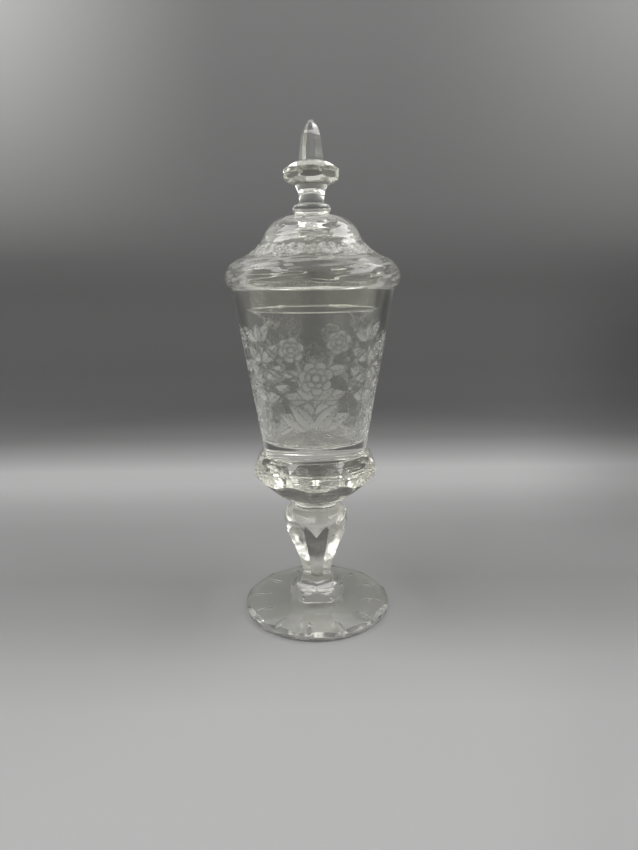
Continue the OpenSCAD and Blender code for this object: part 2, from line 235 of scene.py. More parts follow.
class BowlSizes(bpy.types.PropertyGroup):
    """Sizes of the bowl and of its engraving."""
    bottom_radius: length("Bottom radius", 32, "Outer radius at the foot of the bowl")
    rim_radius: length("Rim radius", 48.3, "Outer radius at the rim")
    rim_wall: length("Rim wall", 4, "Wall at the rim")
    low_wall: length("Low wall", 5, "Wall at the floor")
    floor: length("Floor", 7.5, "Thickness of the floor")
    floor_round: length("Floor round", 3.5, "Rounding inside at the floor")
    rim_round: length("Rim round", 0.8, "Rounding of the rim's edges")
    engraved_from: length("Engraved from", 8, "Height at which the engraved part of the wall begins")
    engraved_to: length("Engraved to", 86, "Height at which the engraved part of the wall ends")
    engraved_step: length("Engraved step", 0.56, "Distance between points of the engraved part")
    engraved_depth: length("Engraved depth", 0.32, "Depth of the engraving")
    ripple: length("Ripple", 0.05, "Unevenness of the hand-made wall")


class CoverSizes(bpy.types.PropertyGroup):
    """Sizes of the cover's dome and inner rim."""
    radius: length("Radius", 51.9, "Largest radius of the cover")
    lip_round: length("Lip round", 4.5, "Rounding of the lip")
    shoulder: length("Shoulder", 13, "Radius of the rounded shoulder")
    sweep: length("Sweep", 28, "Radius of the hollow sweep above the shoulder")
    dome: length("Dome", 19, "Radius of the dome's rounding")
    seat_radius: length("Seat radius", 10.6, "Radius of the flat seat under the finial")
    wall: length("Wall", 3, "Wall of the dome")
    crown: length("Crown", 8, "Thickness of the glass in the middle of the dome, under the finial")
    hollow_round: length("Hollow round", 7, "Rounding inside, above the inner rim")
    inner_radius: length("Inner rim radius", 42, "Outer radius of the inner rim at its top")
    inner_wall: length("Inner rim wall", 2.6, "Wall of the inner rim")
    inner_taper: length("Inner rim taper", 2, "Narrowing of the inner rim towards its lower edge")
    wreath_depth: length("Wreath depth", 0.15, "Depth of the engraved wreath")
    wreath_count: count("Wreath repeats", 12, "Number of blossoms in the engraved wreath")
    ripple: length("Ripple", 0.28, "Unevenness of the hand-made dome")


class FinialSizes(bpy.types.PropertyGroup):
    """Sizes of the finial's collar, neck, knop and spire."""
    collar_radius: length("Collar radius", 11.1, "Largest radius of the collar")
    neck_radius: length("Neck radius", 7.2, "Narrowest radius of the neck")
    neck_top: length("Neck top", 9.6, "Radius at the top of the neck")
    neck_waist: length("Neck waist", 2.2, "Height of the neck's narrowest place")
    knop_radius: length("Knop radius", 18, "Largest radius of the knop before it is cut")
    knop_wide: length("Knop widest", 5.6, "Height of the knop's widest place")
    knop_curve: FloatProperty(name="Knop curve", default=1.7, min=1, max=3,
                              description="How round the knop is: 1 is a straight slope")
    cut_count: count("Ovals", 8, "Number of oval flats round the knop")
    cut_flat: length("Oval flats", 15.6, "Distance of the oval flats from the axis")
    cut_turn: angle("Oval turn", -2, "Turn of the oval flats from the front")
    spire_seat: length("Spire seat", 8.6, "Radius of the seat for the spire")
    spire_sides: count("Spire sides", 6, "Number of sides of the spire")
    spire_flat: length("Spire flats", 6.5, "Distance of the spire's sides from the axis at the bottom")
    tip_flat: length("Tip flats", 5, "Distance of the sides from the axis where the tip begins")
    tip_height: length("Tip height", 12.6, "Height at which the tip begins")
    tip_point: length("Tip point", 1, "Distance of the sides from the axis at the very tip")
    tip_round: length("Tip round", 16, "Rounding of the tip")
    spire_turn: angle("Spire turn", -16, "Turn of the spire's sides from the front")


class GlassColours(bpy.types.PropertyGroup):
    """Colours of the glass."""
    clear: colour("Clear glass", "#FAFAF5", "Tint of the fire-polished glass")
    bowl: colour("Bowl", "#EFEFEB", "Tint of the blown bowl")
    cover: colour("Cover", "#F8F7F1", "Tint of the cover")
    thin: colour("Thin cut glass", "#FAFAF6", "Tint of the cut foot")
    spire: colour("Spire", "#FCFCF8", "Tint of the finial's spire")
    finial: colour("Finial", "#E0DFD3", "Tint of the finial's cut knop")
    stem: colour("Stem", "#F6F5ED", "Tint of the cut stem")
    thick: colour("Thick cut glass", "#E6E5D9", "Tint of the thick knop under the bowl")
    frost: colour("Engraved matt", "#F2F2EC", "Colour of the matt engraving")


class StageSizes(bpy.types.PropertyGroup):
    """Sizes of the paper sweep, and colours of the light."""
    floor_radius: length("Floor radius", 620, "Radius of the flat part of the sweep")
    floor_curve: length("Floor curve", 200, "Radius of the curve from the floor up to the wall")
    wall_height: length("Wall height", 720, "Height of the sweep's wall")
    light_colour: colour("Light", "#FFFFFF", "Colour of the two soft lights")
    world_colour: colour("Room", "#DCDCDC", "Colour of the light from above")


class GobletSettings(bpy.types.PropertyGroup):
    """Everything that a user may change."""
    foot: PointerProperty(type=FootSizes)
    stem: PointerProperty(type=StemSizes)
    knop: PointerProperty(type=KnopSizes)
    bowl: PointerProperty(type=BowlSizes)
    cover: PointerProperty(type=CoverSizes)
    finial: PointerProperty(type=FinialSizes)
    glass: PointerProperty(type=GlassColours)
    stage: PointerProperty(type=StageSizes)


def arc(start, end, radius, step=None):
    """Points of an arc, which bulges to the right of its way for a positive radius, about a step apart."""
    start, end = np.array(start), np.array(end)
    way = end - start
    span = np.hypot(*way)
    side = np.array([way[1], -way[0]]) / span
    depth = sqrt(max(radius * radius - span * span / 4, 0))
    centre = (start + end) / 2 - np.sign(radius) * side * depth
    first = atan2(*(start - centre)[::-1])
    last = atan2(*(end - centre)[::-1])
    turn = (last - first + pi) % tau - pi
    most = step / abs(radius) if step else ARC_STEP
    angles = first + turn * np.linspace(0, 1, 2 + int(abs(turn) / most))
    return [tuple(centre + abs(radius) * np.array([cos(a), sin(a)])) for a in angles]


def eased(before, corner, after, reach):
    """Points of an arc that eases a corner and touches both its sides, a reach away from it."""
    before, corner, after = np.array(before), np.array(corner), np.array(after)
    back = (before - corner) / np.hypot(*(before - corner))
    on = (after - corner) / np.hypot(*(after - corner))
    radius = reach * tan(acos(back @ on) / 2)
    turn = back[0] * on[1] - back[1] * on[0]
    return arc(corner + back * reach, corner + on * reach, -np.sign(turn) * radius)


def stepped(start, end, step):
    """Points along a straight line, about a step apart, without its end."""
    start, end = np.array(start), np.array(end)
    steps = max(1, round(np.hypot(*(end - start)) / step))
    return [tuple(start + (end - start) * i / steps) for i in range(steps)]


def cap_radius(half, depth):
    """Radius of a round whose cap has half a chord and a depth."""
    return (half * half + depth * depth) / (2 * depth)


def swept(outline, bottom, segments=SEGMENTS):
    """Grid of an outline of (radius, height) turned about the axis: outline by segment by x, y, z."""
    radius, height = np.array(outline).T
    turn = FRONT + np.arange(segments) * tau / segments
    grid = np.empty((len(radius), segments, 3))
    grid[..., 0] = radius[:, None] * np.cos(turn)
    grid[..., 1] = radius[:, None] * np.sin(turn)
    grid[..., 2] = bottom + height[:, None]
    return grid


def with_seat(grid, sides, flat, corner, turn):
    """Adds a row to the top of a grid: the outline of a many-sided piece that is joined on there."""
    seat = grid[-1].copy()
    half_side = pi / sides
    around = np.arctan2(seat[:, 1], seat[:, 0]) - FRONT - turn
    from_flat = (around + half_side) % (2 * half_side) - half_side
    radius = np.minimum(flat / np.cos(from_flat), corner)
    seat[:, :2] *= (radius / np.hypot(seat[:, 0], seat[:, 1]))[:, None]
    return np.concatenate([grid, seat[None]])


def grid_mesh(name, grid, ends, ring=False):
    """Mesh of the faces between the rows of a grid, with flat ends over some rows or closed to a ring."""
    rows, segments = grid.shape[:2]
    index = np.arange(rows * segments).reshape(rows, segments)
    here = index if ring else index[:-1]
    there = np.roll(index, -1, axis=0) if ring else index[1:]
    quads = np.stack([here, np.roll(here, -1, axis=1), np.roll(there, -1, axis=1), there], axis=-1)
    faces = quads.reshape(-1, 4).tolist() + [index[row].tolist() for row in ends]
    mesh = bpy.data.meshes.new(name)
    mesh.from_pydata(grid.reshape(-1, 3).tolist(), [], faces)
    return mesh


def skinned(name, grid, ring=False):
    """Closed object over a grid of points: a ring closes on itself, anything else gets flat ends."""
    mesh = grid_mesh(name, grid, () if ring else (0, -1), ring)
    outward(mesh)
    return shown(name, mesh)


def shown(name, mesh):
    """Object of a mesh, linked to the scene."""
    piece = bpy.data.objects.new(name, mesh)
    bpy.context.scene.collection.objects.link(piece)
    return piece


def outward(mesh):
    """Turns all faces of a closed mesh outwards."""
    work = bmesh.new()
    work.from_mesh(mesh)
    bmesh.ops.recalc_face_normals(work, faces=work.faces)
    work.to_mesh(mesh)
    work.free()


def guide(points):
    """Line up the axis that carries the distance of a ring of flats, from (distance, height) points."""
    name = "Guide"
    mesh = bpy.data.meshes.new(name)
    mesh.from_pydata([(0, 0, z) for _, z in points], [(i, i + 1) for i in range(len(points) - 1)], [])
    layer = mesh.attributes.new("flat", "FLOAT", "POINT")
    layer.data.foreach_set("value", [distance for distance, _ in points])
    return shown(name, mesh)


def leaning(point, lean, bottom, top):
    """Guide for flats through a (distance, height) point that lean in by an angle as they rise."""
    distance, height = point
    return guide([(distance - (z - height) * tan(lean), z) for z in (bottom - CLEAR, top + CLEAR)])


def add_node(tree, kind, inputs=None, **settings):
    """Adds a node with its settings. An input takes a value, a socket, or the first output of a node."""
    node = tree.nodes.new(kind)
    for name, value in settings.items():
        setattr(node, name, value)
    for key, value in (inputs or {}).items():
        if isinstance(value, bpy.types.Node):
            value = value.outputs[0]
        if isinstance(value, bpy.types.NodeSocket):
            tree.links.new(value, node.inputs[key])
        else:
            node.inputs[key].default_value = value
    return node


def cutting_tree(name):
    """Empty tree for a kind of cutting with its inputs and its output, and the sockets that give them."""
    tree = bpy.data.node_groups.new(name, "GeometryNodeTree")
    for socket, kind in CUT_INPUTS.items():
        tree.interface.new_socket(socket, in_out="INPUT", socket_type="NodeSocket" + kind)
    tree.interface.new_socket("Piece", in_out="OUTPUT", socket_type="NodeSocketGeometry")
    return tree, add_node(tree, "NodeGroupInput").outputs


def close_tree(tree, cut, glass):
    """Ends a tree of cuts: what it made is real geometry, and is given its glass."""
    real = add_node(tree, "GeometryNodeRealizeInstances", {"Geometry": cut})
    clad = add_node(tree, "GeometryNodeSetMaterial", {"Geometry": real, "Material": glass})
    add_node(tree, "NodeGroupOutput", {"Piece": clad})


def ring_of_cuts():
    """Node tree that takes a cutter off a blank at even steps all round, as a cutter's wheel is indexed."""
    name = "Ring_Of_Cuts"
    if name in bpy.data.node_groups:
        return bpy.data.node_groups[name]
    tree, given = cutting_tree(name)
    places = add_node(tree, "GeometryNodePoints", {"Count": given["Count"]})
    number = add_node(tree, "GeometryNodeInputIndex")
    step = add_node(tree, "ShaderNodeMath", {0: tau, 1: given["Count"]}, operation="DIVIDE")
    turn = add_node(tree, "ShaderNodeMath", {0: number, 1: step, 2: given["Turn"]},
                    operation="MULTIPLY_ADD")
    rotation = add_node(tree, "ShaderNodeCombineXYZ", {"Z": turn})
    cutter = add_node(tree, "GeometryNodeObjectInfo", {"Object": given["Cutter"]})
    cutters = add_node(tree, "GeometryNodeInstanceOnPoints", {
        "Points": places, "Instance": cutter.outputs["Geometry"], "Rotation": rotation})
    wheel = add_node(tree, "GeometryNodeRealizeInstances", {"Geometry": cutters})
    cut = add_node(tree, "GeometryNodeMeshBoolean", {"Mesh 1": given["Blank"], "Mesh 2": wheel},
                   operation="DIFFERENCE", solver="EXACT")
    close_tree(tree, cut, given["Glass"])
    return tree


def flats_all_round():
    """Node tree that grinds a blank down to a many-sided body, whose sides follow a guide up the axis."""
    name = "Flats_All_Round"
    if name in bpy.data.node_groups:
        return bpy.data.node_groups[name]
    tree, given = cutting_tree(name)
    line = add_node(tree, "GeometryNodeObjectInfo", {"Object": given["Cutter"]})
    axis = add_node(tree, "GeometryNodeMeshToCurve", {"Mesh": line.outputs["Geometry"]})
    flat = add_node(tree, "GeometryNodeInputNamedAttribute", {"Name": "flat"}, data_type="FLOAT")
    half_side = add_node(tree, "ShaderNodeMath", {0: pi, 1: given["Count"]}, operation="DIVIDE")
    narrowing = add_node(tree, "ShaderNodeMath", {0: half_side}, operation="COSINE")
    corner = add_node(tree, "ShaderNodeMath", {0: flat.outputs["Attribute"], 1: narrowing},
                      operation="DIVIDE")
    sides = add_node(tree, "GeometryNodeCurvePrimitiveCircle", {"Resolution": given["Count"], "Radius": 1.0})
    body = add_node(tree, "GeometryNodeCurveToMesh", {
        "Curve": axis, "Profile Curve": sides, "Scale": corner, "Fill Caps": True})
    turn = add_node(tree, "ShaderNodeMath", {0: given["Turn"], 1: half_side}, operation="ADD")
    rotation = add_node(tree, "ShaderNodeCombineXYZ", {"Z": turn})
    turned = add_node(tree, "GeometryNodeTransform", {"Geometry": body, "Rotation": rotation})
    cut = add_node(tree, "GeometryNodeMeshBoolean", {"Mesh 2": given["Blank"]}, operation="INTERSECT",
                   solver="EXACT")
    tree.links.new(turned.outputs[0], cut.inputs["Mesh 2"])
    close_tree(tree, cut, given["Glass"])
    return tree


def cut_round(piece, tree, cutter, number, turn, glass):
    """Adds a row of cuts to a piece. The turn is counted from the front."""
    values = {"Cutter": cutter, "Count": number, "Turn": FRONT + turn, "Glass": glass}
    modifier = piece.modifiers.new("Cuts", "NODES")
    modifier.node_group = tree
    for socket in tree.interface.items_tree:
        if socket.name in values:
            modifier[socket.identifier] = values[socket.name]


def settled(piece, cutters):
    """Makes a piece's cuts part of its mesh, and clears the cutters away."""
    depsgraph = bpy.context.evaluated_depsgraph_get()
    mesh = bpy.data.meshes.new_from_object(piece.evaluated_get(depsgraph), depsgraph=depsgraph)
    if not mesh.polygons:
        raise RuntimeError(piece.name + " is empty after its cuts")
    piece.modifiers.clear()
    piece.data = mesh
    mesh.name = piece.name
    for cutter in cutters:
        bpy.data.objects.remove(cutter)


def dressed(piece, node, glass, joints=(), crisp=CUT_EDGE):
    """Gives a piece its glass, its clear joints and its place in the frame.

    A joint is the height of a flat face, with its least and its most radius.
    """
    mesh = piece.data
    mesh.materials.clear()
    mesh.materials.append(glass)
    if joints:
        mesh.materials.append(hot_joint())
    points = np.empty(len(mesh.vertices) * 3)
    mesh.vertices.foreach_get("co", points)
    points = points.reshape(-1, 3)
    radius = np.hypot(points[:, 0], points[:, 1])
    for face in mesh.polygons:
        face.use_smooth = True
        corners = list(face.vertices)
        for height, least, most in joints:
            level = np.abs(points[corners, 2] - height) < TOUCH
            out = radius[corners]
            if level.all() and out.max() < most + TOUCH and out.min() > least - TOUCH:
                face.material_index = 1
    mesh.set_sharp_from_angle(angle=crisp)
    record = frame["record"]
    body = next(name for name, nodes in record["behaviour"]["bodies"].items() if node in nodes)
    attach(piece, body)
    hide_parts(node)


def bare_material(name):
    """New material with an empty node tree."""
    material = bpy.data.materials.new(name)
    material.use_nodes = True
    material.node_tree.nodes.clear()
    return material, material.node_tree


def glass_base(name, tint):
    """Material with one shader of polished soda glass."""
    material, tree = bare_material(name)
    glass = add_node(tree, "ShaderNodeBsdfPrincipled", {
        "Base Color": (*tint, 1), "IOR": 1.52, "Transmission Weight": 1.0, "Roughness": 0.0})
    add_node(tree, "ShaderNodeOutputMaterial", {"Surface": glass})
    return material, tree, glass


def fire_polished_glass():
    """Thin blown glass, smoothed in the flame: clear and bright, with faint waves that bend what it shows."""
    name = "Soda_Glass_Fire_Polished"
    if name in bpy.data.materials:
        return bpy.data.materials[name]
    material, tree, glass = glass_base(name, bpy.context.scene.goblet.glass.clear)
    wave, depth = 16 * MM, 0.2 * MM
    place = add_node(tree, "ShaderNodeTexCoord").outputs["Object"]
    waves = add_node(tree, "ShaderNodeTexNoise", {"Vector": place, "Scale": 1 / wave, "Detail": 1.0})
    bump = add_node(tree, "ShaderNodeBump", {"Strength": 0.3, "Distance": depth, "Height": waves})
    tree.links.new(bump.outputs[0], glass.inputs["Normal"])
    return material


def wheel_cut_glass(kind):
    """Glass ground flat on a wheel and polished: crisp facets, each a little wavy from the polishing."""
    name = "Soda_Glass_Wheel_Cut_" + kind.capitalize()
    if name in bpy.data.materials:
        return bpy.data.materials[name]
    material, tree, glass = glass_base(name, getattr(bpy.context.scene.goblet.glass, kind))
    wave, stretch, depth, haze, wear = CUT_FINISHES[kind]
    glass.inputs["Transmission Weight"].default_value = 1 - wear
    # The wheel ran round the piece, so its waves are longer than they are high, and steepest on the knops
    place = add_node(tree, "ShaderNodeTexCoord").outputs["Object"]
    stretched = add_node(tree, "ShaderNodeVectorMath", {0: place, 1: (1 / stretch, 1 / stretch, 1)},
                         operation="MULTIPLY")
    waves = add_node(tree, "ShaderNodeTexNoise", {"Vector": stretched, "Scale": 1 / wave, "Detail": 1.0})
    bump = add_node(tree, "ShaderNodeBump", {"Strength": 1.0, "Distance": depth, "Height": waves})
    polish = add_node(tree, "ShaderNodeMapRange", {
        "Value": waves, "From Min": 0.35, "From Max": 0.7, "To Min": haze / 3, "To Max": haze})
    tree.links.new(bump.outputs[0], glass.inputs["Normal"])
    tree.links.new(polish.outputs[0], glass.inputs["Roughness"])
    return material


def wheel_engraved_glass(kind):
    """Blown glass with matt wheel engraving: clear wall, and pale frost where the wheel has roughened it."""
    name = "Soda_Glass_Wheel_Engraved_" + kind.capitalize()
    if name in bpy.data.materials:
        return bpy.data.materials[name]
    colours = bpy.context.scene.goblet.glass
    wall = getattr(colours, kind)
    material, tree, glass = glass_base(name, wall)
    frost = add_node(tree, "ShaderNodeAttribute", attribute_name="frost").outputs["Fac"]
    tint = add_node(tree, "ShaderNodeMix", {
        "Factor": frost, "A": (*wall, 1), "B": (*colours.frost, 1)}, data_type="RGBA")
    rough = add_node(tree, "ShaderNodeMapRange", {"Value": frost, "To Min": 0.0, "To Max": 0.55})
    clear = add_node(tree, "ShaderNodeMapRange", {"Value": frost, "To Min": CLEAREST[kind], "To Max": 0.6})
    tree.links.new(tint.outputs[2], glass.inputs["Base Color"])
    tree.links.new(rough.outputs[0], glass.inputs["Roughness"])
    tree.links.new(clear.outputs[0], glass.inputs["Transmission Weight"])
    return material


def hot_joint():
    """Face between two gathers that were joined hot: the glass runs on, so nothing shows there."""
    name = "Hot_Joint"
    if name in bpy.data.materials:
        return bpy.data.materials[name]
    material, tree = bare_material(name)
    nothing = add_node(tree, "ShaderNodeBsdfTransparent", {"Color": (1, 1, 1, 1)})
    add_node(tree, "ShaderNodeOutputMaterial", {"Surface": nothing})
    return material


# The engraving is drawn on the unrolled wall in millimetres, u round it and v up it, in tones from 0 for
# clear to 1 for fully matt


def soft(distance, edge=1.0):
    """1 inside a drawn shape and 0 outside, over a soft edge."""
    return np.clip(distance / edge + 0.5, 0, 1)


def laid(drawn, inside, tone):
    """Lays a matt shape, by the distance inside its edge, over a drawing, with a clear line round it."""
    line = 0.7
    return drawn * (1 - soft(inside + line)) + tone * soft(inside)


def leaf(drawn, u, v, foot, turn, long, wide):
    """Leaf that grows from its foot at an angle: one half deeper and paler, partly painted light; midrib and
    veins.
    """
    along = (u - foot[0]) * cos(turn) + (v - foot[1]) * sin(turn)
    across = (v - foot[1]) * cos(turn) - (u - foot[0]) * sin(turn)
    part = np.clip(along / long, 0, 1)
    vein_step, midrib_wide = 3, 0.6
    inside = wide / 2 * np.sin(pi * part ** 0.75) - np.abs(across) - 0.1
    # The deeper half is a real deeper, more matt cut, and its paler tone is also painted light, as if lit
    # from that side
    half = np.where(across > 0, 0.9, 0.65)
    veins = 0.1 * np.cos(tau * (along - np.abs(across)) / vein_step)
    midrib = soft(midrib_wide / 2 - np.abs(across))
    return laid(drawn, inside, (half - 0.15 * part + veins) * (1 - 0.5 * midrib))


def petals(drawn, u, v, centre, radius, number, turn):
    """Ring of petals, each deepest at its outer edge."""
    out = np.hypot(u - centre[0], v - centre[1])
    around = (np.arctan2(v - centre[1], u - centre[0]) - turn) * number / 2
    lobe = np.abs(np.cos(around))
    inside = radius * (0.7 + 0.3 * np.sqrt(lobe)) - out
    parting = soft(0.4 - lobe * out * 2 / number)
    tone = (0.25 + 0.65 * np.clip(out / radius, 0, 1) ** 2) * (1 - 0.6 * parting)
    return laid(drawn, inside, tone)


def blossom(drawn, u, v, centre, radius, number):
    """Full blossom of two rings of petals round a heart."""
    drawn = petals(drawn, u, v, centre, radius, number, 0.3)
    drawn = petals(drawn, u, v, centre, 0.58 * radius, number - 1, 0.9)
    return laid(drawn, 0.2 * radius - np.hypot(u - centre[0], v - centre[1]), 0.8)


def stroke(drawn, u, v, path, wide, tone=0.6):
    """Line along a path of points."""
    near = np.full(u.shape, np.inf)
    for start, end in zip(path[:-1], path[1:]):
        way = np.array(end) - np.array(start)
        part = ((u - start[0]) * way[0] + (v - start[1]) * way[1]) / (way @ way)
        part = np.clip(part, 0, 1)
        near = np.minimum(near, np.hypot(u - start[0] - part * way[0], v - start[1] - part * way[1]))
    return np.maximum(drawn, tone * soft(wide / 2 - near))


def bent(start, bend, end, steps=10):
    """Points of a curve from start to end, pulled towards bend."""
    start, bend, end = np.array(start), np.array(bend), np.array(end)
    parts = np.linspace(0, 1, steps + 1)[:, None]
    return (1 - parts) ** 2 * start + 2 * parts * (1 - parts) * bend + parts ** 2 * end


def flowering_bush(drawn, u, v):
    """Bush with a few broad leaves and full blossoms that grows from the ground."""
    root, stalk_wide = (0, 22), 1.8
    # Each stalk: the blossom's place, its radius and its number of petals
    stalks = [((-12, 68), 7, 6), ((13, 72), 6.5, 6), ((1, 52), 9.5, 7)]
    for place, _, _ in stalks:
        path = bent(root, (0.1 * place[0], 0.6 * place[1]), place)
        drawn = stroke(drawn, u, v, path, stalk_wide)
        for step, size in ((4, 17), (7, 13)):
            for way in (-1, 1):
                rise = pi / 2 - way * radians(64) - place[0] * radians(1.2)
                drawn = leaf(drawn, u, v, path[step], rise, size, 0.5 * size)
    for way in (-1, 1):
        for rise, size in ((20, 25), (44, 22)):
            drawn = leaf(drawn, u, v, root, pi / 2 - way * radians(90 - rise), size, 0.42 * size)
    for place, radius, number in stalks:
        drawn = blossom(drawn, u, v, place, radius, number)
    return drawn


def leafy_tree(drawn, u, v):
    """Slender tree with a bent trunk and a crown of large leaves up its whole height."""
    trunk_wide = 3
    path = bent((-3, 16), (7, 44), (-1, 76), 16)
    drawn = stroke(drawn, u, v, path, trunk_wide)
    for step in range(6, 16, 3):
        size = 24 - 0.7 * step
        for way in (-1, 1):
            lean = radians(48 + 10 * sin(2.3 * step + way))
            drawn = leaf(drawn, u, v, path[step], pi / 2 - way * lean, size, 0.46 * size)
    return leaf(drawn, u, v, path[-2], pi / 2, 10, 5.5)


def ground(u, v, period):
    """Broad rolling hills, softly matt with long furrows, and tufts of grass along their edge."""
    bottom, top, hill, furrow_step = 10.5, 24, 5, 5.5
    rise = hill * np.cos(tau * u / period)
    edge = top + rise + 1.2 * np.sin(tau * u * 4 / period)
    furrows = np.cos(tau * (v - 0.8 * rise) / furrow_step + 1.8 * np.sin(tau * u * 2 / period))
    low_edge = soft(v - bottom, 4)
    drawn = soft(edge - v, 2) * low_edge * (0.4 + 0.15 * furrows)
    blades, sunk = 12, 2
    for number in range(blades):
        foot = (number + 0.5 - blades / 2) * period / blades
        level = top - sunk + hill * cos(tau * foot / period)
        lean = 3 * sin(number * 2.4)
        tall_blade = 7 + 3 * sin(number * 1.7)
        path = bent((foot, level), (foot, level + tall_blade / 2), (foot + lean, level + tall_blade), 4)
        drawn = stroke(drawn, u, v, path, 1.8, 0.5)
    return drawn


def bowl_engraving(turn, height, radius):
    """Frost from 0 to 1 on the bowl's wall: four flowering bushes with leafy trees between them."""
    repeats = 4
    period = tau * radius / repeats / MM
    v = height / MM
    u = turn * radius / MM
    at_bush = (u + period / 2) % period - period / 2
    at_tree = u % period - period / 2
    return flowering_bush(leafy_tree(ground(at_bush, v, period), at_tree, v), at_bush, v)


def wreath(turn, along, repeats):
    """Frost from 0 to 1 on a band round the cover: leaves on a waving stalk, and blossoms between them."""
    period = 17.5
    u = ((turn * repeats / tau + 0.5) % 1 - 0.5) * period
    steps, stalk_wide, leaf_long, leaf_wide, blossom_radius = 15, 1.1, 7.5, 4.6, 4.2
    stalk = [(x, 0.8 * sin(tau * x / period)) for x in np.linspace(-period / 2, period / 2, steps)]
    drawn = stroke(np.zeros(u.shape), u, along, stalk, stalk_wide)
    # Each leaf: its foot along the stalk and the angle at which it grows
    for foot, rise in ((3, 50), (4.5, -42), (-3.5, 130), (-4.5, -138)):
        drawn = leaf(drawn, u, along, (foot, 0), radians(rise), leaf_long, leaf_wide)
    return blossom(drawn, u, along, (0, 0), blossom_radius, 6)


def carve(grid, depth):
    """Moves points of a grid towards the axis by a depth for each."""
    radius = np.hypot(grid[..., 0], grid[..., 1])
    grid[..., :2] *= ((radius - depth) / radius)[..., None]


def frosted(piece, frost):
    """Stores how matt each point of a piece is."""
    layer = piece.data.attributes.new("frost", "FLOAT", "POINT")
    layer.data.foreach_set("value", frost.ravel())


def unevenness(turn, height):
    """Slow waves of a hand-made wall for each point of a grid."""
    high = height / MM
    return 0.5 * np.sin(3 * turn + high / 17) + 0.3 * np.sin(7 * turn - high / 9) + 0.2 * np.sin(high / 5)


def streaks(turn, along):
    """Streaks that run round a hand-made dome and wander up and down, at a distance along its outline."""
    down = along / MM
    wander = np.sin(3 * turn + down / 9) + 0.6 * np.sin(7 * turn - down / 6 + 1)
    broad = np.sin(tau * down / 6.5 + 1.7 * wander)
    narrow = np.sin(tau * down / 4.1 - 2.3 * wander + 11 * turn)
    return 0.6 * broad + 0.4 * narrow


class GOBLET_OT_foot(bpy.types.Operator):
    """Builds the flat foot with its cut rim, olive cuts and ground hollow"""
    bl_idname = "goblet.foot"
    bl_label = "Foot"

    def execute(self, context):
        foot, stem = context.scene.goblet.foot, context.scene.goblet.stem
        height = tall("foot")
        ball = cap_radius(foot.hollow_radius, foot.hollow_depth)
        middle = 0.3 * MM
        outline = arc((middle, foot.hollow_depth), (foot.hollow_radius, 0), -ball)
        outline += eased((0, 0), (foot.radius, 0), (foot.radius, height), foot.edge_round)
        outline += [(foot.radius, foot.rim_height), (foot.seat_radius, height)]
        grid = swept(outline, low("foot"))
        piece = skinned("Foot", with_seat(grid, stem.panel_count, stem.base_flat, stem.base_radius, 0))
        glass = wheel_cut_glass("thin")
        bevel = leaning((foot.radius - foot.bevel_bite, foot.bevel_start), foot.bevel_lean, 0, height)
        cut_round(piece, flats_all_round(), bevel, foot.bevel_count, 0, glass)
        olive = self.olive(foot)
        cut_round(piece, ring_of_cuts(), olive, foot.olive_count, foot.olive_turn, glass)
        settled(piece, [bevel, olive])
        dressed(piece, "foot", glass, [(low("stem_base"), 0, stem.base_radius)])
        return {"FINISHED"}

    def olive(self, foot):
        """Part of a rounded wheel that grinds one olive cut from below."""
        wheel = cap_radius(foot.olive_length / 2, foot.olive_depth)
        groove = cap_radius(foot.olive_width / 2, foot.olive_depth)
        past_ends, steps, ring_steps = 1.4, 40, 48
        reach = past_ends * acos(1 - foot.olive_depth / wheel)
        centre = low("foot") + foot.olive_depth - wheel
        rows = []
        for turn in np.linspace(-reach, reach, steps):
            ring = []
            for around in np.linspace(0, tau, ring_steps, endpoint=False):
                out = wheel - groove + groove * cos(around)
                across, up = groove * sin(around), centre + out * cos(turn)
                ring.append((foot.olive_ring + out * sin(turn), across, up))
            rows.append(ring)
        return skinned("Olive", np.array(rows))


